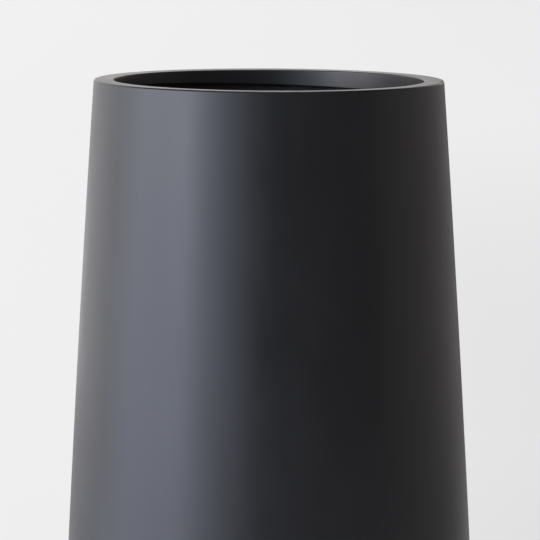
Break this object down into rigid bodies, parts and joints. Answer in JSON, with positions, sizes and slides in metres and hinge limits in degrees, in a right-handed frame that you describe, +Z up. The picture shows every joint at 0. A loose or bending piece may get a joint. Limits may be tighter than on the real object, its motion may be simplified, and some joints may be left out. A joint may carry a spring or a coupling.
{
  "type": "tall round planter",
  "caption": "Tall round floor planter, gently bowed and widening to the foot, with a flat rim, return lip, bonded base, drain stopper and rubber pads.",
  "frame": {"origin": "on the floor plane, under the centre of the base, at the planter's axis", "axes": "+Z up along the planter's axis; +X and +Y are alike on this round object"},
  "size_m": [0.4478, 0.4478, 0.813],
  "materials": {
    "moulded_shell": "charcoal satin to matte glass-fibre laminate, smooth outside",
    "lip_filler": "dark matte filler",
    "base_laminate": "black glass-fibre laminate, fibre texture on the inner side",
    "glass_tape": "resin-wetted glass tape, black",
    "bonding_paste": "dull dark grey paste",
    "stopper_rubber": "matte black moulded rubber",
    "pad_rubber": "matte black rubber"
  },
  "bodies": {
    "planter": {"planter_shell": "moulded_shell", "rim_filler": "lip_filler", "base_pan": "base_laminate", "inside_tape": "glass_tape", "foot_bead": "bonding_paste", "foot_pad_1": "pad_rubber", "foot_pad_2": "pad_rubber", "foot_pad_3": "pad_rubber", "foot_pad_4": "pad_rubber"},
    "stopper": {"drain_stopper": "stopper_rubber"}
  },
  "joints": [
    {"name": "stopper_lift", "type": "slide", "parent": "planter", "child": "stopper", "axis": [0, 0, 1], "range_m": [0, 0.85]}
  ]
}
